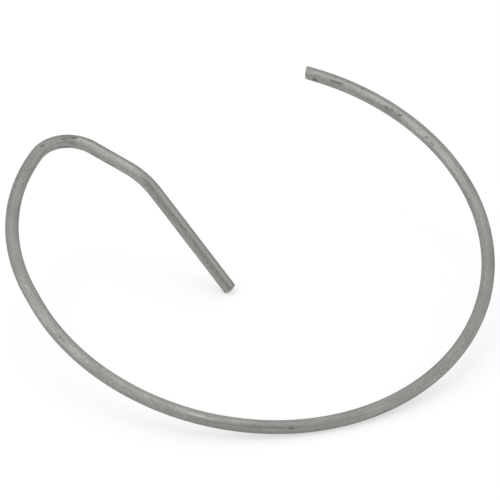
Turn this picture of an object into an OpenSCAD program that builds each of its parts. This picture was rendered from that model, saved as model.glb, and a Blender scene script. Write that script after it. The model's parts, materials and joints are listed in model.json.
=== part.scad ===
// Retaining clip bent from one length of round spring wire.
// An open ring runs into a flat and a lead-in, and a hook turns the wire in to a spoke that points
// at the ring's centre. The leg then dips below the ring's plane and ends at the ring's axis.
// The clip is drawn as it lies on a flat surface: it stands on the leg's tip and on one point of
// the rim, which faces -Y, and its centre of mass is above the line between those two points.
// The origin is on that surface, under the middle of the clip's bounding box. Lengths are in mm.

/* [Wire] */
// Diameter of the wire
wire_d = 2; // [1.2:0.1:3]
// Width of the edge that is broken on the two cut ends
end_break = 0.2; // [0.05:0.05:0.5]
// Straight piece of wire at the ring's free end
free_l = 1; // [0.8:0.1:6]

/* [Ring] */
// Radius of the ring, to the middle of the wire
ring_r = 35.25; // [28:0.25:60]
// Angle that the ring runs round, in degrees
ring_angle = 229; // [190:0.5:250]

/* [Hook] */
// Straight length between the ring and the lead-in
flat_l = 2; // [1:0.1:8]
// Radius of the lead-in, to the middle of the wire
lead_r = 30; // [20:0.25:40]
// Angle that the lead-in runs round, in degrees
lead_angle = 53; // [30:0.5:70]
// Radius of the hook, to the middle of the wire
hook_r = 5.8; // [3:0.1:10]
// Straight length of the spoke between the hook and the leg's bend
spoke_l = 6.4; // [3:0.1:10]

/* [Leg] */
// Radius of the bend between the spoke and the leg, to the middle of the wire
dip_r = 8.4; // [4:0.1:12]
// Angle that the leg dips below the ring's plane, in degrees
dip_angle = 37.5; // [25:0.5:55]
// Straight length of the leg
leg_l = 18.8; // [10:0.1:22]

/* [Hidden] */
$fn = 64;

// Worked stretches slim by this much in diameter, and the others lap onto them at each end.
work_slim = 0.01;
lap_l = 0.05;

// Rigid moves as 4 x 4 matrices
function shift(v) = [[1, 0, 0, v.x], [0, 1, 0, v.y], [0, 0, 1, v.z], [0, 0, 0, 1]];
function about_x(a) = [[1, 0, 0, 0], [0, cos(a), -sin(a), 0], [0, sin(a), cos(a), 0], [0, 0, 0, 1]];
function about_y(a) = [[cos(a), 0, sin(a), 0], [0, 1, 0, 0], [-sin(a), 0, cos(a), 0], [0, 0, 0, 1]];
function about_z(a) = [[cos(a), -sin(a), 0, 0], [sin(a), cos(a), 0, 0], [0, 0, 1, 0], [0, 0, 0, 1]];
function place(m) = [m[0][3], m[1][3], m[2][3]];
function column(m, i) = [m[0][i], m[1][i], m[2][i]];
function carry(m, p) = column(m, 0) * p.x + column(m, 1) * p.y + column(m, 2) * p.z + place(m);
function unit(v) = v / norm(v);
function sum(list) = [for (x = list) 1] * list;

// A step of the bending is [radius, amount, roll, worked]. The wire runs along its own +Z. A step of
// radius 0 is straight and amount is its length. Any other turns towards the wire's own +X, and
// amount is its angle. roll turns the wire about itself before the step.
RADIUS = 0;
AMOUNT = 1;
ROLL = 2;
WORKED = 3;
function is_bend(step) = step[RADIUS] > 0;
function travel(step, share = 1) =
    is_bend(step) ? shift([step[RADIUS], 0, 0]) * about_y(step[AMOUNT] * share) * shift([-step[RADIUS], 0, 0])
    : shift([0, 0, step[AMOUNT] * share]);
function arc_length(r, turn) = r * turn * PI / 180;
function wire_length(step) = is_bend(step) ? arc_length(step[RADIUS], step[AMOUNT]) : step[AMOUNT];
function arc_middle(r, turn) =
    [r, 0, 0] + 2 * r ^ 2 * sin(turn / 2) / arc_length(r, turn) * [-cos(turn / 2), 0, sin(turn / 2)];
function middle(step) = is_bend(step) ? arc_middle(step[RADIUS], step[AMOUNT]) : [0, 0, step[AMOUNT] / 2];
function frame_at(list, i) =
    i == 0 ? wire_start : frame_at(list, i - 1) * travel(list[i - 1]) * about_z(list[i][ROLL]);

// The ring lies in XY about the origin and runs clockwise, seen from +Z, from its free end on +X.
ring_start = [[-1, 0, 0, ring_r], [0, 0, -1, 0], [0, -1, 0, 0], [0, 0, 0, 1]];
wire_start = ring_start * shift([0, 0, -free_l]);
free_end = [0, free_l, 0, true];
ring = [ring_r, ring_angle, 0, false];
flat = [0, flat_l, 0, true];
lead = [lead_r, lead_angle, 0, false];

// The hook turns until the wire points at the ring's centre.
hook_start = ring_start * travel(ring) * travel(flat) * travel(lead);
hook_centre = carry(hook_start, [hook_r, 0, 0]);
centre_ahead = -hook_centre * column(hook_start, 2);
centre_aside = -hook_centre * column(hook_start, 0);
hook_angle = atan2(centre_aside, centre_ahead) + asin(hook_r / norm(hook_centre));
hook = [hook_r, hook_angle, 0, true];
spoke = [0, spoke_l, 0, false];

// A quarter turn of the wire takes its bends from the ring's plane to below it.
quarter_turn = 90;
dip = [dip_r, dip_angle, quarter_turn, true];
leg = [0, leg_l, 0, false];

steps = [free_end, ring, flat, lead, hook, spoke, dip, leg];
last = len(steps) - 1;
frames = [for (i = [0 : last]) frame_at(steps, i)];
lengths = [for (s = steps) wire_length(s)];
mass_centre = sum([for (i = [0 : last]) carry(frames[i], middle(steps[i])) * lengths[i]]) / sum(lengths);

// Rest: n is the surface's normal in the ring's frame. Seen along n, the leg's tip, the centre of
// mass and the rim point that touches lie on one line, and n leans until both points touch.
tip = place(frames[last] * travel(leg));
leg_way = column(frames[last], 2);
tip_r = wire_d / 2 - end_break;
function tip_low(n) = tip - tip_r * unit(n - (n * leg_way) * leg_way);
function slid(p, n) = p - n * p.z / n.z;
function ray_to_ring(a, way) = a + way * (sqrt((a * way) ^ 2 - a * a + ring_r ^ 2) - a * way);
function rim_way(n) =
    unit(ray_to_ring(slid(tip_low(n), n), unit(slid(mass_centre, n) - slid(tip_low(n), n))));
function lean(low, reach) = acos(wire_d / 2 / norm([low, reach])) - atan2(reach, -low);
function rest_lean(n, way) = lean(tip_low(n).z, ring_r - tip_low(n) * way);
function leant(n, way) = cos(rest_lean(n, way)) * [0, 0, 1] - sin(rest_lean(n, way)) * way;
function settled(n, rounds) = rounds < 1 ? n : settled(leant(n, rim_way(n)), rounds - 1);

rest_rounds = 12;
rest_n = settled([0, 0, 1], rest_rounds);
rest_way = rim_way(rest_n);
rest_tilt = rest_lean(rest_n, rest_way);
rest_spin = -90 - atan2(rest_way.y, rest_way.x);
turned = about_x(rest_tilt) * about_z(rest_spin);

// The origin goes under the middle of the turned clip's box, found from places along the wire.
places_a_step = 120;
stations = [for (i = [0 : last]) for (k = [0 : places_a_step])
    turned * frames[i] * travel(steps[i], k / places_a_step)];
function reach(m, axis) = wire_d / 2 * sqrt(max(0, 1 - m[axis][2] ^ 2));
function box_middle(axis) =
    (max([for (m = stations) m[axis][3] + reach(m, axis)])
    + min([for (m = stations) m[axis][3] - reach(m, axis)])) / 2;
rest_rise = ring_r * sin(rest_tilt) + wire_d / 2;
laid = shift([-box_middle(0), -box_middle(1), rest_rise]) * turned;

// A straight stretch from z0 to z1, with either end's edge broken by the width given
module straight(r, z0, z1, break0 = 0, break1 = 0) {
    rotate_extrude()
        polygon([[0, z0], [r - break0, z0], [r, z0 + break0], [r, z1 - break1], [r - break1, z1], [0, z1]]);
}

// A bend towards +X that starts lap degrees early and ends lap degrees late
module bent(r, bend_r, turn, lap) {
    translate([bend_r, 0, 0])
        rotate([90, 0, 0])
            rotate_extrude(angle = turn + 2 * lap, start = 180 - turn - lap)
                translate([bend_r, 0])
                    circle(r);
}

module stretch(i) {
    step = steps[i];
    r = (wire_d - (step[WORKED] ? work_slim : 0)) / 2;
    lap = step[WORKED] ? 0 : lap_l;
    if (is_bend(step))
        bent(r, step[RADIUS], step[AMOUNT], lap / arc_length(step[RADIUS], 1));
    else
        straight(r, -lap, step[AMOUNT] + (i == last ? 0 : lap),
            i == 0 ? end_break : 0, i == last ? end_break : 0);
}

module clip_wire() {
    color([0.58, 0.58, 0.57])
        multmatrix(laid)
            for (i = [0 : last])
                multmatrix(frames[i])
                    stretch(i);
}

clip_wire();
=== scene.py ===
import json
import math
from typing import NamedTuple

import bpy
import numpy as np
from mathutils import Matrix, Vector, noise


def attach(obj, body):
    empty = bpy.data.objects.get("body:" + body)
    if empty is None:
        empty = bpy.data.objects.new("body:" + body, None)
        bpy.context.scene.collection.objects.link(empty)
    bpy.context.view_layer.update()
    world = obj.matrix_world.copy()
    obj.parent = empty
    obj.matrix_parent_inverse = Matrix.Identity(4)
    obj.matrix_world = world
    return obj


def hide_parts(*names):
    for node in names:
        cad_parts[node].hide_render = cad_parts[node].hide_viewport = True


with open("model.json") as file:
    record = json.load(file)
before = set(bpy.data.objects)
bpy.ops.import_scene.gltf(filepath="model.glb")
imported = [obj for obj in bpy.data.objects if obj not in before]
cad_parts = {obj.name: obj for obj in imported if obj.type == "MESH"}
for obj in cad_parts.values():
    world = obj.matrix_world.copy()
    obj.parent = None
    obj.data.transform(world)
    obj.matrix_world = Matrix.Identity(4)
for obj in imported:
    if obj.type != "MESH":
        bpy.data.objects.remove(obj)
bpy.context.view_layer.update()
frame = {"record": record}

bl_info = {
    "name": "Retaining clip",
    "version": (1, 0, 0),
    "blender": (4, 5, 0),
    "location": "3D View > Sidebar > Clip",
    "description": "Forms a spring wire retaining clip and sets it on a pale studio floor",
    "category": "Object",
}

MM = 0.001
QUARTER_TURN = math.radians(90)
WHITE = (1, 1, 1, 1)
MOUNTS = {m["name"]: m for m in frame["record"]["mounts"]}
WIRE_NODE = "clip_wire"

# The mesh of the wire: sides round it, and the longest step along it in mm
WIRE_SIDES = 56
STEP_ALONG = 0.2

# Rounds of points on a cut end: from the middle of its face to the rim, and over the rolled edge
FACE_ROUNDS = 7
EDGE_ROUNDS = 6
END_ROUNDS = FACE_ROUNDS + EDGE_ROUNDS

# Space in mm between the pieces of the skin where it is laid out flat
FLAT_GAP = 0.4

# The skin's relief in mm: the wave, the dimples under dark marks and rubs (painted shade and highlights too),
# and the lines with the grain
WAVE_HEIGHT = 0.008
DARK_MARK_DEPTH = 0.02
BRIGHT_MARK_DEPTH = 0.008
RIDGE_HEIGHT = 0.015

# Tears on a cut face: their height in mm, how many there are to a mm, and the power that fades them outwards
TEAR_HEIGHT = 0.02
TEARS_PER_MM = 3
TEAR_FADE = 4

# A mark is full up to the first share of its half width and gone past the second, and its edge wanders by
# up to about the third.
MARK_CORE = 0.1
MARK_EDGE = 1.45
MARK_WANDER = 0.5

# The marks on the far side of the wire: how far round they are, in degrees, and their share of the strength
FAR_TURN = 180
FAR_STRENGTH = 0.6

# The levels that a pattern mostly runs between, and those between which the soap film comes and goes
PATTERN_LOW = 0.3
PATTERN_HIGH = 0.7
FILM_LOW = 0.35
FILM_HIGH = 0.65

# How far the lines and the grain lighten and darken the steel
LINE_TONE = 0.13
GRAIN_TONE = 0.21

# How far the film's streaks make the steel rougher or smoother, and how much rougher a dark mark is
FILM_ROUGHNESS = 0.05
MARK_ROUGHNESS = 0.15

# The soap keeps the steel from turning white at grazing angles.
GRAZING_TINT = (0.65, 0.65, 0.65, 1)

# The matt paint on the floor's board
BOARD_ROUGHNESS = 0.9

# The tent's open side, in degrees: the heading and the height of its middle, and how far from there its cloth
# begins to darken and is at its darkest
OPENING_HEADING = 190
OPENING_HEIGHT = 12
OPENING_EDGE = 55
OPENING_CORE = 15

# The width of the camera's sensor in mm
SENSOR_WIDTH = 36


class Pattern(NamedTuple):
    """An uneven pattern on the skin. Its features have a length along the wire and a width, in mm. pick
    chooses one such pattern from many, and detail and roughness say how many finer layers it has, and how
    strong they are."""

    long: float
    wide: float
    pick: float = 0
    detail: float = 0
    roughness: float = 0


# The slow wave of the skin, and the ragged edges of the marks
WAVE = Pattern(long=4, wide=2, pick=7.7)
RAGGED_EDGE = Pattern(long=0.5, wide=0.25, pick=3.1)

# Drawing lines are about 0.02 mm wide. They are drawn six times as wide, so that they show.
DRAWING_LINES = Pattern(long=11, wide=6 * 0.02, detail=2, roughness=0.5)

# Streaks in the film of drawing soap, and the grain of the steel
SOAP_FILM = Pattern(long=5, wide=1.1, pick=51.9, detail=3, roughness=0.6)
GRAIN = Pattern(long=0.36, wide=0.24, detail=2, roughness=0.6)


class CutEnd(NamedTuple):
    """A sheared end. Its face is domed and leans, and its edge is rolled over, most on the side where the
    shear came in. Lengths are in mm, lean is a slope, and sides are angles round the wire in degrees."""

    proud: float
    dome: float
    lean: float
    lean_side: float
    roll: float
    roll_more: float
    roll_in: float
    roll_in_more: float
    shear_side: float


FREE_END = CutEnd(
    proud=0.02, dome=0.15, lean=0.15, lean_side=29,
    roll=0.3, roll_more=0.5, roll_in=0.11, roll_in_more=0.08, shear_side=23)
LEG_TIP = CutEnd(
    proud=0.09, dome=0.07, lean=0.12, lean_side=166,
    roll=0.12, roll_more=0.28, roll_in=0.25, roll_in_more=0.19, shear_side=102)


class Smear(NamedTuple):
    """A mark on the wire's skin from one place to another. A place is a length along the wire from the free
    end, in mm, and an angle round it from the inside of the ring, in degrees. Half its width is in mm."""

    start: float
    start_turn: float
    end: float
    end_turn: float
    half_width: float
    strength: float


# Dark marks. The strong ones are spots of grime. Most faint ones are painted shade, a darker tone along a
# stretch or an edge.
GRIME_AND_PAINTED_SHADE = (
    # Behind the free end
    Smear(1.6, -3, 1.9, -4, 0.25, 0.92),
    Smear(2.4, -108, 7.0, -112, 0.14, 0.25),
    Smear(4.3, -45, 4.8, -45, 0.15, 0.62),
    Smear(4.5, -93, 4.9, -93, 0.14, 0.35),
    Smear(5.1, -44, 6.0, -47, 0.20, 0.70),
    Smear(9.1, -88, 9.4, -90, 0.17, 0.65),
    # The ring's first quarter, with a patch of soil
    Smear(13.4, -20, 16.8, -20, 0.35, 0.14),
    Smear(13.9, -44, 14.4, -37, 0.26, 0.54),
    Smear(15.0, -53, 15.3, -50, 0.17, 0.80),
    Smear(15.9, -65, 16.2, -63, 0.13, 0.60),
    Smear(16.4, -50, 16.8, -55, 0.21, 0.80),
    Smear(15.8, -40, 16.8, -42, 0.40, 0.16),
    Smear(22.3, -49, 22.7, -51, 0.17, 0.70),
    Smear(23.6, -43, 24.2, -45, 0.15, 0.55),
    # Painted shade along the ring's inner and outer edges, and short lines of soil by its inner edge
    Smear(22.0, -14, 34.0, -16, 0.40, 0.10),
    Smear(31.0, -120, 40.0, -126, 0.40, 0.10),
    Smear(34.8, -19, 37.4, -9, 0.12, 0.40),
    Smear(35.8, -43, 37.0, -41, 0.12, 0.36),
    Smear(41.8, -15, 43.4, -16, 0.10, 0.30),
    Smear(47.8, -24, 50.4, -25, 0.09, 0.30),
    # The ring's low stretch, on both sides of where it rests. The long, faint marks here are painted shade.
    Smear(63.5, -102, 63.8, -103, 0.10, 0.35),
    Smear(96.8, -141, 97.3, -142, 0.16, 0.73),
    Smear(98.3, -137, 98.7, -137, 0.12, 0.30),
    Smear(86.0, -122, 100.0, -122, 0.35, 0.10),
    Smear(86.0, -167, 116.0, -167, 0.30, 0.11),
    Smear(101.5, -163, 111.5, -161, 0.70, 0.19),
    Smear(108.8, -100, 109.2, -101, 0.09, 0.50),
    Smear(114.0, -112, 119.5, -112, 0.25, 0.12),
    # The ring's last quarter and the lead-in. The faint ones from 127 mm and from 135.5 mm are painted shade.
    Smear(133.3, -122, 133.5, -123, 0.10, 0.50),
    Smear(133.8, -125, 134.4, -124, 0.14, 0.52),
    Smear(127.0, -172, 140.0, -170, 0.35, 0.10),
    Smear(135.5, -145, 144.0, -140, 0.22, 0.17),
    Smear(135.8, -174, 137.4, -175, 0.12, 0.42),
    Smear(154.8, -36, 161.4, -30, 0.12, 0.25),
    Smear(163.2, -112, 163.8, -112, 0.08, 0.30),
    Smear(165.0, -122, 165.6, -122, 0.10, 0.35),
    Smear(169.5, -102, 169.9, -101, 0.12, 0.38),
    # The hook, with a broad smear on its bend
    Smear(172.6, -85, 173.1, -82, 0.16, 0.68),
    Smear(176.2, -92, 178.2, -84, 0.55, 0.14),
    Smear(176.4, -108, 177.6, -102, 0.14, 0.45),
    Smear(176.4, -73, 177.9, -78, 0.13, 0.70),
    Smear(177.9, -80, 178.5, -85, 0.18, 0.88),
    Smear(176.0, 6, 177.4, 7, 0.20, 0.60),
    Smear(177.6, -33, 178.8, -33, 0.26, 0.22),
    # Painted shade along the edges of the hook, the spoke and the leg
    Smear(172.0, 4, 180.0, 6, 0.32, 0.14),
    Smear(180.5, -114, 190.5, -114, 0.28, 0.26),
    Smear(191.0, -116, 211.5, -116, 0.26, 0.18),
    Smear(191.0, -28, 211.5, -28, 0.34, 0.10),
    # The underside of the spoke and of the leg, and the spoke's end
    Smear(181.8, 4, 183.1, 3, 0.17, 0.55),
    Smear(184.3, 4, 185.7, 4, 0.15, 0.52),
    Smear(190.7, -55, 191.4, -57, 0.20, 0.27),
    Smear(199.5, 4, 200.1, 3, 0.12, 0.35),
    # Painted shade round the edge of the leg's tip
    Smear(211.7, -125, 211.7, 15, 0.16, 0.25),
)

# The far side of the wire isn't known. It is given a fainter copy of each dark mark, painted shade included.
FAR_MARKS = tuple(
    mark._replace(
        start_turn=mark.start_turn + FAR_TURN,
        end_turn=mark.end_turn + FAR_TURN,
        strength=FAR_STRENGTH * mark.strength)
    for mark in GRIME_AND_PAINTED_SHADE)

# Rubs that have bared the steel, and painted highlights
RUBS_AND_PAINTED_HIGHLIGHTS = (
    Smear(104.5, -106, 108.0, -114, 0.16, 0.20),
    Smear(108.0, -116, 109.2, -119, 0.11, 0.60),
    Smear(109.4, -117, 111.8, -113, 0.14, 0.78),
    Smear(111.8, -112, 113.8, -105, 0.11, 0.30),
    Smear(135.6, -130, 136.6, -129, 0.14, 0.24),
    Smear(178.9, -84, 179.7, -78, 0.30, 0.20),
    Smear(189.3, -65, 189.9, -65, 0.22, 0.22),
    # Long or broad, and faint: painted highlight, a lighter tone along a stretch
    Smear(1.0, -54, 14.0, -50, 0.60, 0.08),
    Smear(17.0, -48, 38.0, -56, 0.14, 0.11),
    Smear(56.0, -53, 70.0, -53, 0.28, 0.11),
    Smear(88.0, -141, 123.0, -146, 0.17, 0.13),
    Smear(102.0, -86, 126.0, -82, 0.40, 0.09),
    Smear(127.0, -90, 136.0, -86, 0.22, 0.10),
    Smear(142.0, -62, 152.0, -54, 0.40, 0.12),
    Smear(160.0, -76, 173.0, -62, 0.55, 0.08),
    Smear(182.0, -45, 189.5, -45, 2.20, 0.12),
    Smear(191.0, -84, 211.5, -84, 0.50, 0.15),
    Smear(199.0, -4, 211.5, -4, 0.35, 0.12),
    Smear(206.0, -54, 211.6, -60, 0.40, 0.07),
)

# Pressed stretches, on which the grain shows less
PRESSED = (
    Smear(38.0, -110, 56.0, -130, 3.5, 0.45),
    Smear(78.0, -130, 106.0, -130, 3.5, 0.35),
    Smear(149.0, -100, 158.0, -90, 3.5, 0.40),
)


def linear(code):
    """The linear colour of an sRGB hex code such as 949390."""
    shares = [int(code[i:i + 2], 16) / 255 for i in (0, 2, 4)]
    return tuple(x / 12.92 if x <= 0.04045 else ((x + 0.055) / 1.055) ** 2.4 for x in shares)


def length(name, description, millimetres):
    return bpy.props.FloatProperty(
        name=name, description=description, default=millimetres * MM, min=0, unit="LENGTH")


def angle(name, description, degrees):
    return bpy.props.FloatProperty(
        name=name, description=description, default=math.radians(degrees), unit="ROTATION")


def colour(name, description, code):
    return bpy.props.FloatVectorProperty(
        name=name, description=description, default=linear(code), size=3, min=0, max=1, subtype="COLOR")


def share(name, description, value):
    return bpy.props.FloatProperty(
        name=name, description=description, default=value, min=0, max=1, subtype="FACTOR")


def level(name, description, value):
    return bpy.props.FloatProperty(name=name, description=description, default=value, min=0)


class ClipBends(bpy.types.PropertyGroup):
    """The wire and its bends, in the order in which the wire is formed."""

    wire_diameter: length("Wire diameter", "Diameter of the spring wire", 2 * MOUNTS["leg"]["dims"]["r_mm"])
    free_length: length("Free end", "Straight piece at the ring's free end", 1)
    ring_radius: length("Ring radius", "Radius of the ring, to the middle of the wire", 35.25)
    ring_angle: angle("Ring angle", "Angle that the ring runs round", 229)
    flat_length: length("Flat", "Straight piece between the ring and the lead-in", 2)
    lead_radius: length("Lead-in radius", "Radius of the lead-in, to the middle of the wire", 30)
    lead_angle: angle("Lead-in angle", "Angle that the lead-in runs round", 53)
    hook_radius: length("Hook radius", "Radius of the hook, to the middle of the wire", 5.8)
    spoke_length: length("Spoke", "Straight piece between the hook and the leg's bend", 6.4)
    dip_radius: length("Dip radius", "Radius of the bend between the spoke and the leg", 8.4)
    dip_angle: angle("Dip angle", "Angle that the leg dips below the ring's plane", 37.5)
    leg_length: length("Leg", "Straight length of the leg", 18.8)


class ClipFinish(bpy.types.PropertyGroup):
    """The colours and the dullness of the drawn steel."""

    steel: colour("Steel", "Colour of the drawn wire", "999995")
    steel_dull: colour("Dull steel", "Colour where drawing soap has stayed on the wire", "91908C")
    # Rubbed steel also colours the painted highlights, and grime also colours the painted shade.
    steel_rubbed_and_highlighted: colour("Rubbed steel", "Colour where the wire has been rubbed bright", "CCC7BC")
    grime_and_shade: colour("Grime", "Colour of the dark marks", "4A4844")
    roughness: share("Roughness", "Roughness of the drawn surface", 0.40)
    mark_strength: share("Marks", "How strongly the dark marks show", 1.0)


class ClipStage(bpy.types.PropertyGroup):
    """The floor, the light and the camera."""

    floor_size: length("Floor size", "Side of the square floor", 4000)
    floor_colour: colour("Floor", "Colour of the floor", "B9B9B9")
    floor_glow: level("Floor glow", "Light of its own that keeps the floor white", 0.50)
    tent_level: level("Tent", "Light that comes from all round", 0.93)
    opening_level: level("Tent opening", "Light from the tent's open side, where the camera stands", 0.52)
    overhead_level: level("Overhead softbox", "Light of the softbox above the clip", 0.72)
    left_level: level("Left softbox", "Light of the low softbox on the left", 0.70)
    front_left_level: level("Front left softbox", "Light of the softbox to the left of the camera", 0.56)
    front_right_level: level("Front right softbox", "Light of the softbox to the right of the camera", 0.35)
    far_level: level("Far softbox", "Light of the softbox behind the clip", 0.17)
    softbox_size: length("Softbox size", "Side of the square softboxes", 700)
    softbox_far: length("Softbox distance", "Distance of the softboxes from the clip", 1000)
    camera_place: bpy.props.FloatVectorProperty(
        name="Camera", description="Place of the camera", subtype="XYZ", unit="LENGTH",
        default=(-212.94 * MM, -553.88 * MM, 379.59 * MM))
    camera_heading: angle("Heading", "Way the camera looks, from +Y towards +X", 20.912)
    camera_dip: angle("Dip", "Angle that the camera looks down", 31.771)
    camera_roll: angle("Roll", "Angle that the camera is turned about its own axis", 0.609)
    lens: bpy.props.FloatProperty(
        name="Lens", description=f"Focal length on a {SENSOR_WIDTH} mm sensor", default=341.1, min=1,
        unit="CAMERA")


def travel(radius, amount):
    """The move along one step of the wire, which runs along its own +Z and bends towards its own +X."""
    if not radius:
        return Matrix.Translation((0, 0, amount))
    to_centre = Matrix.Translation((radius, 0, 0))
    return to_centre @ Matrix.Rotation(amount, 4, "Y") @ to_centre.inverted()


def bending_steps(bends):
    """The steps of the forming as (radius, amount, roll), and the wire's frame at its start. A step of radius
    0 is straight and its amount is a length. The ring lies in XY about the origin."""
    facing = Matrix(((-1, 0, 0), (0, 0, -1), (0, -1, 0))).to_4x4()
    start = Matrix.Translation((bends.ring_radius, 0, 0)) @ facing
    ring = (bends.ring_radius, bends.ring_angle, 0)
    flat = (0, bends.flat_length, 0)
    lead = (bends.lead_radius, bends.lead_angle, 0)

    # The hook turns until the wire points at the ring's centre.
    at_hook = start @ travel(*ring[:2]) @ travel(*flat[:2]) @ travel(*lead[:2])
    hook_centre = at_hook @ Vector((bends.hook_radius, 0, 0))
    to_centre = at_hook.to_3x3().transposed() @ -hook_centre
    hook_angle = math.atan2(to_centre.x, to_centre.z) + math.asin(bends.hook_radius / hook_centre.length)
    steps = [
        (0, bends.free_length, 0),
        ring,
        flat,
        lead,
        (bends.hook_radius, hook_angle, 0),
        (0, bends.spoke_length, 0),
        (bends.dip_radius, bends.dip_angle, QUARTER_TURN),
        (0, bends.leg_length, 0),
    ]
    return steps, start @ travel(0, -bends.free_length)


def along_and_across(axis, way):
    """A frame whose Z is axis and whose X lies as way does, seen along axis."""
    x = (way - axis * way.dot(axis)).normalized()
    return Matrix((x, axis.cross(x), axis)).transposed()


def laid_as_packed(leg_way):
    """The move from the ring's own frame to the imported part, by the ring's seat and the leg's direction."""
    seat = MOUNTS["ring_seat"]
    packed = along_and_across(Vector(seat["axis"]).normalized(), Vector(MOUNTS["leg"]["axis"]))
    own = along_and_across(Vector((0, 0, 1)), leg_way)
    return Matrix.Translation(seat["pos_m"]) @ (packed @ own.transposed()).to_4x4()


class Station(NamedTuple):
    """One place along the wire: how far along in mm, and its frame."""

    along: float
    frame: Matrix


def wire_stations(bends):
    """Stations from the free end to the leg's tip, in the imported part's frame. Their frames don't roll with
    the bending plane, so lines along the wire stay straight."""
    steps, here = bending_steps(bends)
    stations = []
    run = rolled = 0.0
    for i, (radius, amount, roll) in enumerate(steps):
        here = here @ Matrix.Rotation(roll, 4, "Z")
        rolled += roll
        step_length = (radius * amount if radius else amount) / MM
        count = math.ceil(step_length / STEP_ALONG)
        last = i == len(steps) - 1
        for k in range(count + 1 if last else count):
            there = here @ travel(radius, amount * k / count) @ Matrix.Rotation(-rolled, 4, "Z")
            stations.append(Station(run + step_length * k / count, there))
        here = here @ travel(radius, amount)
        run += step_length
    move = laid_as_packed(here.to_3x3().col[2])
    return [s._replace(frame=move @ s.frame) for s in stations]


class Rounds(NamedTuple):
    """Rounds of points on the skin. Each array has a row for each round: the points in metres, how far along
    the wire they are and how far from its middle, both in mm."""

    points: np.ndarray
    along: np.ndarray
    reach: np.ndarray


def smooth(low, high, x):
    """Rises from 0 at low to 1 at high, without corners."""
    x = np.clip((x - low) / (high - low), 0, 1)
    return x * x * (3 - 2 * x)


def field(along, turns, radius, pattern):
    """A pattern over the wire's skin, as a smooth field from about -1 to 1."""
    places = np.stack([
        along / pattern.long,
        np.broadcast_to(np.cos(turns) * radius / pattern.wide + pattern.pick, along.shape),
        np.broadcast_to(np.sin(turns) * radius / pattern.wide - pattern.pick, along.shape),
    ], -1).reshape(-1, 3)
    return np.array([noise.noise(p) for p in places.tolist()]).reshape(along.shape)


def smears(marks, along, turns, radius, ragged):
    """How strongly each place on the wire is covered by the marks. ragged roughens their edges."""
    cover = np.zeros_like(along)
    for mark in marks:
        middle = math.radians((mark.start_turn + mark.end_turn) / 2)
        across = ((turns - middle + math.pi) % (2 * math.pi) - math.pi) * radius
        rise = math.radians(mark.end_turn - mark.start_turn) * radius
        run = mark.end - mark.start
        from_start = along - mark.start
        from_side = across + rise / 2
        part = np.clip((from_start * run + from_side * rise) / (run ** 2 + rise ** 2), 0, 1)
        gap = np.hypot(from_start - part * run, from_side - part * rise) / mark.half_width
        fade = smooth(MARK_CORE, MARK_EDGE, gap + MARK_WANDER * ragged)
        cover = np.maximum(cover, mark.strength * (1 - fade))
    return cover


def skin_marks(along, turns, radius):
    """The cover of each kind of mark."""
    ragged = field(along, turns, radius, RAGGED_EDGE)
    # The grime cover also holds painted shade, and the rubbed cover painted highlights.
    kinds = {"grime_and_shade": GRIME_AND_PAINTED_SHADE + FAR_MARKS, "rubbed_and_highlighted": RUBS_AND_PAINTED_HIGHLIGHTS, "pressed": PRESSED}
    return {kind: smears(marks, along, turns, radius, ragged) for kind, marks in kinds.items()}


def skin_lift(along, turns, radius):
    """How far the skin stands off the true round, in mm: a slow wave, less the dimples under the marks."""
    cover = skin_marks(along, turns, radius)
    wave = field(along, turns, radius, WAVE)
    return WAVE_HEIGHT * wave - DARK_MARK_DEPTH * cover["grime_and_shade"] - BRIGHT_MARK_DEPTH * cover["rubbed_and_highlighted"]


def body_rounds(stations, turns, radius):
    """The rounds of the wire between its two ends."""
    along = np.repeat(np.array([s.along for s in stations])[:, None], WIRE_SIDES, 1)
    reach = radius + skin_lift(along, turns, radius)
    frames = np.array([[list(row) for row in s.frame] for s in stations])
    x, y, middle = frames[:, None, :3, 0], frames[:, None, :3, 1], frames[:, None, :3, 3]
    out = np.cos(turns)[:, None] * x + np.sin(turns)[:, None] * y
    return Rounds(middle + out * (reach * MM)[..., None], along, reach)


def end_rounds(end, station, turns, radius, way):
    """The rounds of a cut end, from the middle of its face to where its edge meets the wire, and the middle
    point. way is -1 where the wire starts and 1 where it ends."""
    shear = ((1 + np.cos(turns - math.radians(end.shear_side))) / 2) ** 2
    roll = end.roll + end.roll_more * shear
    roll_in = end.roll_in + end.roll_in_more * shear
    rim = radius - roll_in
    lean = end.lean * np.cos(turns - math.radians(end.lean_side))
    reach, fall = [], []
    for k in range(1, FACE_ROUNDS + 1):
        here = rim * k / FACE_ROUNDS
        places = np.stack([here * np.cos(turns), here * np.sin(turns), np.full_like(turns, way)], -1)
        tears = np.array([noise.noise(p) for p in (places * TEARS_PER_MM).tolist()])
        torn = TEAR_HEIGHT * tears * (1 - (k / FACE_ROUNDS) ** TEAR_FADE)
        reach.append(here)
        fall.append(lean * here + end.dome * (here / radius) ** 2 + torn)
    for k in range(1, EDGE_ROUNDS + 1):
        quarter = QUARTER_TURN * k / EDGE_ROUNDS
        over = 1 - math.cos(quarter)
        reach.append(radius - roll_in * (1 - math.sin(quarter)))
        fall.append(lean * rim * (1 - over) + end.dome * (rim / radius) ** 2 + roll * over)
    reach, fall = np.array(reach), np.array(fall)

    x, y, z, middle = (np.array(station.frame.col[i][:3]) for i in range(4))
    out = np.cos(turns)[:, None] * x + np.sin(turns)[:, None] * y
    top = middle + z * way * end.proud * MM
    points = top + (out * reach[..., None] - z * way * fall[..., None]) * MM
    return Rounds(points, station.along + way * (end.proud - fall), reach), top


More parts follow.
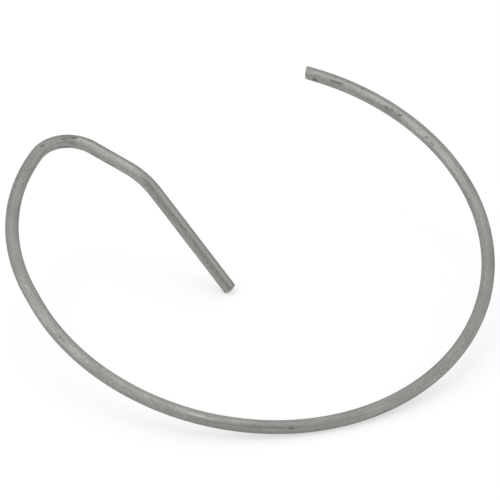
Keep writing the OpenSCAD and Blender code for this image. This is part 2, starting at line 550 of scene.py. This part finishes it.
def lay_out_flat(mesh, rounds, turns, radius):
    """Lays the skin out flat on a square: the wire in strips, each opened along one side, and beside them the
    two ends as discs. The mesh's faces are the quads between the rounds and then a fan on each end."""
    around = 2 * math.pi * radius
    pitch = around + FLAT_GAP
    low, high = rounds.along.min(), rounds.along.max()
    strips = round(math.sqrt((high - low) / pitch))
    strip_length = (high - low) / strips
    count = len(rounds.along)
    row, column = np.broadcast_arrays(
        np.arange(count - 1)[:, None, None] + np.array([0, 0, 1, 1]),
        np.arange(WIRE_SIDES)[None, :, None] + np.array([0, 1, 1, 0]))

    along = rounds.along[row, column % WIRE_SIDES] - low
    strip = np.clip(along.mean((1, 2)) // strip_length, 0, strips - 1)[:, None, None]
    flat = np.stack([along - strip * strip_length, strip * pitch + around * (1 - column / WIRE_SIDES)], -1)

    # An end's disc is as wide as its skin from the middle of the face to the wire's side.
    spread = rounds.reach + np.minimum(rounds.along - low, high - rounds.along)
    widest = max(spread[:END_ROUNDS].max(), spread[-END_ROUNDS:].max())
    fans = []

    # Each end's rows of quads, its innermost round, the way it faces, and its middle's height in half discs
    ends = (
        (slice(0, END_ROUNDS - 1), 0, -1, 1),
        (slice(count - END_ROUNDS, count - 1), count - 1, 1, 3),
    )
    for rows, inner, way, halves in ends:
        centre = np.array([strip_length + FLAT_GAP + widest, halves * (widest + FLAT_GAP)])
        ways = np.stack([np.cos(turns), way * np.sin(turns)], -1)
        disc = centre + spread[..., None] * ways
        flat[rows] = disc[row[rows], column[rows] % WIRE_SIDES]
        rim = disc[inner]
        beside = np.roll(rim, -1, 0)
        pair = (beside, rim) if way < 0 else (rim, beside)
        fans.append(np.stack([np.broadcast_to(centre, rim.shape), *pair], 1).reshape(-1, 2))
    corners = np.concatenate([flat.reshape(-1, 2), *fans])
    square = (corners + FLAT_GAP) / (corners.max() + 2 * FLAT_GAP)
    layer = mesh.uv_layers.new(name="OFBake")
    layer.data.foreach_set("uv", square.astype(np.float32).ravel())


class RETAINING_CLIP_OT_form_wire(bpy.types.Operator):
    """Form the clip from one length of drawn spring wire"""

    bl_idname = "retaining_clip.form_wire"
    bl_label = "Form the wire"

    def execute(self, context):
        bends = context.scene.clip_bends
        radius = bends.wire_diameter / 2 / MM
        turns = np.arange(WIRE_SIDES) * (2 * math.pi / WIRE_SIDES)
        stations = wire_stations(bends)
        first, first_middle = end_rounds(FREE_END, stations[0], turns, radius, -1)
        last, last_middle = end_rounds(LEG_TIP, stations[-1], turns, radius, 1)
        between = [s for s in stations if first.along.max() < s.along < last.along.min()]
        body = body_rounds(between, turns, radius)
        rounds = Rounds(*(np.concatenate([a, b, c[::-1]]) for a, b, c in zip(first, body, last)))

        mesh = self.skin(rounds, first_middle, last_middle)
        lay_out_flat(mesh, rounds, turns, radius)
        self.note_places(mesh, rounds, turns, radius)
        wire = bpy.data.objects.new("formed_wire", mesh)
        context.scene.collection.objects.link(wire)
        mesh.materials.append(drawn_spring_steel(context.scene.clip_finish))
        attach(wire, "root")
        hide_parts(WIRE_NODE)
        return {"FINISHED"}

    def skin(self, rounds, first_middle, last_middle):
        """The mesh over the rounds, closed by a fan of triangles on each end."""
        count = len(rounds.points)
        grid = np.arange(count * WIRE_SIDES).reshape(count, WIRE_SIDES)
        beside = np.roll(grid, -1, 1)
        middle = grid.size
        faces = np.stack([grid[:-1], beside[:-1], beside[1:], grid[1:]], -1).reshape(-1, 4).tolist()
        faces += [[middle, b, a] for a, b in zip(grid[0], beside[0])]
        faces += [[middle + 1, a, b] for a, b in zip(grid[-1], beside[-1])]
        points = np.concatenate([rounds.points.reshape(-1, 3), [first_middle, last_middle]])
        mesh = bpy.data.meshes.new("formed_wire")
        mesh.from_pydata(points.tolist(), [], faces)
        mesh.shade_smooth()
        return mesh

    def note_places(self, mesh, rounds, turns, radius):
        """Notes for the material where each point lay on the straight wire, in mm, and the marks on it."""
        across = [rounds.reach * np.cos(turns), rounds.reach * np.sin(turns)]
        straight = np.stack([rounds.along, *across], -1).reshape(-1, 3)
        middles = [[rounds.along[0].mean(), 0, 0], [rounds.along[-1].mean(), 0, 0]]
        unbent = mesh.attributes.new("unbent", "FLOAT_VECTOR", "POINT")
        unbent.data.foreach_set("vector", np.concatenate([straight, middles]).astype(np.float32).ravel())
        for name, cover in skin_marks(rounds.along, turns, radius).items():
            layer = mesh.attributes.new(name, "FLOAT", "POINT")
            layer.data.foreach_set("value", np.append(cover, [0, 0]).astype(np.float32))


def add_node(tree, kind, settings=None, **inputs):
    """Adds a node with its settings, and sets or links its inputs. An input is given by its name, with _ for
    a space, or by its number after an i."""
    node = tree.nodes.new(kind)
    for name, value in (settings or {}).items():
        setattr(node, name, value)
    for name, value in inputs.items():
        numbered = name[0] == "i" and name[1:].isdigit()
        socket = node.inputs[int(name[1:]) if numbered else name.replace("_", " ")]
        if isinstance(value, bpy.types.NodeSocket):
            tree.links.new(value, socket)
        else:
            socket.default_value = value
    return node


def drawn_spring_steel(finish):
    """Cold drawn spring steel wire, left as drawn. Bare steel under a thin film of drawing soap gives a soft
    grey sheen without mirror reflections, fine lines along the wire, dark smears where it was handled, and
    painted shade and painted highlights along some stretches and edges."""
    material = bpy.data.materials.new("drawn spring steel wire")
    material.use_nodes = True
    tree = material.node_tree
    tree.nodes.clear()
    place = add_node(tree, "ShaderNodeAttribute", {"attribute_name": "unbent"}).outputs["Vector"]
    rubbed_and_highlighted = add_node(tree, "ShaderNodeAttribute", {"attribute_name": "rubbed_and_highlighted"}).outputs["Fac"]
    pressed = add_node(tree, "ShaderNodeAttribute", {"attribute_name": "pressed"}).outputs["Fac"]
    soiled_and_shaded = add_node(tree, "ShaderNodeAttribute", {"attribute_name": "grime_and_shade"}).outputs["Fac"]
    grime_and_shade = add_node(
        tree, "ShaderNodeMath", {"operation": "MULTIPLY"}, i0=soiled_and_shaded, i1=finish.mark_strength).outputs[0]

    levels = []
    for pattern in (DRAWING_LINES, SOAP_FILM, GRAIN):
        scale = (1 / pattern.long, 1 / pattern.wide, 1 / pattern.wide)
        scaled = add_node(
            tree, "ShaderNodeVectorMath", {"operation": "MULTIPLY_ADD"},
            i0=place, i1=scale, i2=(pattern.pick, 0, 0))
        uneven = add_node(
            tree, "ShaderNodeTexNoise", Vector=scaled.outputs[0], Scale=1,
            Detail=pattern.detail, Roughness=pattern.roughness)
        levels.append(uneven.outputs["Fac"])
    lines, film, grain = levels

    # The soap film comes and goes, and lines and grain lie over it. Pressed stretches have less grain.
    film_share = add_node(tree, "ShaderNodeMapRange", Value=film, From_Min=FILM_LOW, From_Max=FILM_HIGH)
    skin = add_node(
        tree, "ShaderNodeMix", {"data_type": "RGBA"}, i0=film_share.outputs[0],
        i6=(*finish.steel_dull, 1), i7=(*finish.steel, 1))
    line_tone = add_node(
        tree, "ShaderNodeMapRange", Value=lines, From_Min=PATTERN_LOW, From_Max=PATTERN_HIGH,
        To_Min=1 - LINE_TONE, To_Max=1 + LINE_TONE)
    grain_tone = add_node(
        tree, "ShaderNodeMapRange", Value=grain, From_Min=PATTERN_LOW, From_Max=PATTERN_HIGH,
        To_Min=1 - GRAIN_TONE, To_Max=1 + GRAIN_TONE)
    grain_left = add_node(
        tree, "ShaderNodeMix", {"data_type": "FLOAT"}, i0=pressed, i2=grain_tone.outputs[0], i3=1)
    tone = add_node(
        tree, "ShaderNodeMath", {"operation": "MULTIPLY"}, i0=line_tone.outputs[0], i1=grain_left.outputs[0])
    toned = add_node(
        tree, "ShaderNodeVectorMath", {"operation": "SCALE"}, i0=skin.outputs[2], Scale=tone.outputs[0])

    # Rubs and painted highlights, then dark marks and painted shade, cover all that.
    bright = add_node(
        tree, "ShaderNodeMix", {"data_type": "RGBA"}, i0=rubbed_and_highlighted, i6=toned.outputs[0],
        i7=(*finish.steel_rubbed_and_highlighted, 1))
    marked = add_node(
        tree, "ShaderNodeMix", {"data_type": "RGBA"}, i0=grime_and_shade, i6=bright.outputs[2], i7=(*finish.grime_and_shade, 1))

    dull = add_node(
        tree, "ShaderNodeMapRange", Value=film, From_Min=PATTERN_LOW, From_Max=PATTERN_HIGH,
        To_Min=finish.roughness + FILM_ROUGHNESS, To_Max=finish.roughness - FILM_ROUGHNESS)
    duller = add_node(
        tree, "ShaderNodeMath", {"operation": "MULTIPLY_ADD"},
        i0=grime_and_shade, i1=MARK_ROUGHNESS, i2=dull.outputs[0])
    ridges = add_node(tree, "ShaderNodeMath", {"operation": "ADD"}, i0=lines, i1=grain)
    bump = add_node(tree, "ShaderNodeBump", Strength=1, Distance=RIDGE_HEIGHT * MM, Height=ridges.outputs[0])
    shader = add_node(
        tree, "ShaderNodeBsdfPrincipled", Base_Color=marked.outputs[2], Metallic=1,
        Specular_Tint=GRAZING_TINT, Roughness=duller.outputs[0], Normal=bump.outputs[0])
    add_node(tree, "ShaderNodeOutputMaterial", Surface=shader.outputs[0])
    return material


def matt_white_board(stage):
    """Matt painted board. It shows as plain white to the camera and in the metal, and keeps the clip's
    shadow."""
    material = bpy.data.materials.new("matt white board")
    material.use_nodes = True
    tree = material.node_tree
    tree.nodes.clear()
    path = add_node(tree, "ShaderNodeLightPath")
    seen = add_node(
        tree, "ShaderNodeMath", {"operation": "MAXIMUM"},
        i0=path.outputs["Is Camera Ray"], i1=path.outputs["Is Glossy Ray"])
    seen = add_node(
        tree, "ShaderNodeMath", {"operation": "MAXIMUM"},
        i0=seen.outputs[0], i1=path.outputs["Is Transmission Ray"])
    glow = add_node(
        tree, "ShaderNodeMath", {"operation": "MULTIPLY"}, i0=seen.outputs[0], i1=stage.floor_glow)
    shader = add_node(
        tree, "ShaderNodeBsdfPrincipled", Base_Color=(*stage.floor_colour, 1), Roughness=BOARD_ROUGHNESS,
        Specular_IOR_Level=0, Emission_Color=WHITE, Emission_Strength=glow.outputs[0])
    add_node(tree, "ShaderNodeOutputMaterial", Surface=shader.outputs[0])
    return material


def heading_and_height(heading, height):
    """The turn that points +Z to a heading, from +Y towards +X, and a height above level, in degrees."""
    turn = Matrix.Rotation(math.radians(-heading), 4, "Z")
    return turn @ Matrix.Rotation(math.radians(height) - QUARTER_TURN, 4, "X")


class RETAINING_CLIP_OT_set_stage(bpy.types.Operator):
    """Set the floor, the light and the camera"""

    bl_idname = "retaining_clip.set_stage"
    bl_label = "Set the stage"

    def execute(self, context):
        stage = context.scene.clip_stage
        self.lay_floor(context, stage)
        self.raise_tent(context, stage)
        self.place_softboxes(context, stage)
        self.aim_camera(context, stage)
        context.scene.view_settings.view_transform = "Standard"
        return {"FINISHED"}

    def lay_floor(self, context, stage):
        half = stage.floor_size / 2
        corners = [(-half, -half, 0), (half, -half, 0), (half, half, 0), (-half, half, 0)]
        mesh = bpy.data.meshes.new("floor")
        mesh.from_pydata(corners, [], [(0, 1, 2, 3)])
        floor = bpy.data.objects.new("floor", mesh)
        context.scene.collection.objects.link(floor)
        mesh.materials.append(matt_white_board(stage))

    def raise_tent(self, context, stage):
        """A tent of even light, darker where it is open. To the camera its cloth is white."""
        world = bpy.data.worlds.new("light tent")
        context.scene.world = world
        world.use_nodes = True
        tree = world.node_tree
        tree.nodes.clear()
        opening = heading_and_height(OPENING_HEADING, OPENING_HEIGHT).to_3x3().col[2]
        way = add_node(tree, "ShaderNodeTexCoord").outputs["Generated"]
        nearness = add_node(tree, "ShaderNodeVectorMath", {"operation": "DOT_PRODUCT"}, i0=way, i1=opening)
        cloth = add_node(
            tree, "ShaderNodeMapRange", {"interpolation_type": "SMOOTHSTEP"},
            Value=nearness.outputs["Value"],
            From_Min=math.cos(math.radians(OPENING_EDGE)), From_Max=math.cos(math.radians(OPENING_CORE)),
            To_Min=stage.tent_level, To_Max=stage.opening_level)
        path = add_node(tree, "ShaderNodeLightPath")
        shown = add_node(
            tree, "ShaderNodeMath", {"operation": "MAXIMUM"},
            i0=cloth.outputs[0], i1=path.outputs["Is Camera Ray"])
        light = add_node(tree, "ShaderNodeBackground", Color=WHITE, Strength=shown.outputs[0])
        add_node(tree, "ShaderNodeOutputWorld", Surface=light.outputs[0])

    def place_softboxes(self, context, stage):
        """Square lamps that face the clip. Each has a heading and a height, in degrees, and the brightness of
        its face."""
        for name, heading, height, brightness in (
            ("overhead softbox", 270, 78, stage.overhead_level),
            ("left softbox", 280, 22, stage.left_level),
            ("front left softbox", 216, 35, stage.front_left_level),
            ("front right softbox", 150, 30, stage.front_right_level),
            ("far softbox", 36, 35, stage.far_level),
        ):
            lamp = bpy.data.lights.new(name, "AREA")
            lamp.shape = "SQUARE"
            lamp.size = stage.softbox_size
            lamp.energy = math.pi * stage.softbox_size ** 2 * brightness
            softbox = bpy.data.objects.new(name, lamp)
            away = Matrix.Translation((0, 0, stage.softbox_far))
            softbox.matrix_world = heading_and_height(heading, height) @ away
            context.scene.collection.objects.link(softbox)

    def aim_camera(self, context, stage):
        data = bpy.data.cameras.new("camera")
        data.lens = stage.lens
        data.sensor_width = SENSOR_WIDTH
        camera = bpy.data.objects.new("camera", data)
        turn = Matrix.Rotation(-stage.camera_heading, 4, "Z")
        tilt = Matrix.Rotation(QUARTER_TURN - stage.camera_dip, 4, "X")
        roll = Matrix.Rotation(stage.camera_roll, 4, "Z")
        camera.matrix_world = Matrix.Translation(stage.camera_place) @ turn @ tilt @ roll
        context.scene.collection.objects.link(camera)
        context.scene.camera = camera


class RETAINING_CLIP_PT_panel(bpy.types.Panel):
    """The clip's sizes, finish and stage"""

    bl_idname = "RETAINING_CLIP_PT_panel"
    bl_label = "Retaining clip"
    bl_space_type = "VIEW_3D"
    bl_region_type = "UI"
    bl_category = "Clip"

    def draw(self, context):
        for name in SETTINGS:
            box = self.layout.box()
            group = getattr(context.scene, name)
            for prop in group.bl_rna.properties:
                if not prop.is_readonly and prop.identifier != "name":
                    box.prop(group, prop.identifier)
        self.layout.operator(RETAINING_CLIP_OT_form_wire.bl_idname)
        self.layout.operator(RETAINING_CLIP_OT_set_stage.bl_idname)


SETTINGS = {"clip_bends": ClipBends, "clip_finish": ClipFinish, "clip_stage": ClipStage}
CLASSES = (
    *SETTINGS.values(), RETAINING_CLIP_OT_form_wire, RETAINING_CLIP_OT_set_stage, RETAINING_CLIP_PT_panel)


def register():
    for cls in CLASSES:
        bpy.utils.register_class(cls)
    for name, cls in SETTINGS.items():
        setattr(bpy.types.Scene, name, bpy.props.PointerProperty(type=cls))


def unregister():
    for name in SETTINGS:
        delattr(bpy.types.Scene, name)
    for cls in reversed(CLASSES):
        bpy.utils.unregister_class(cls)


def main():
    register()
    bpy.ops.retaining_clip.form_wire()
    bpy.ops.retaining_clip.set_stage()


if __name__ == "__main__":
    main()
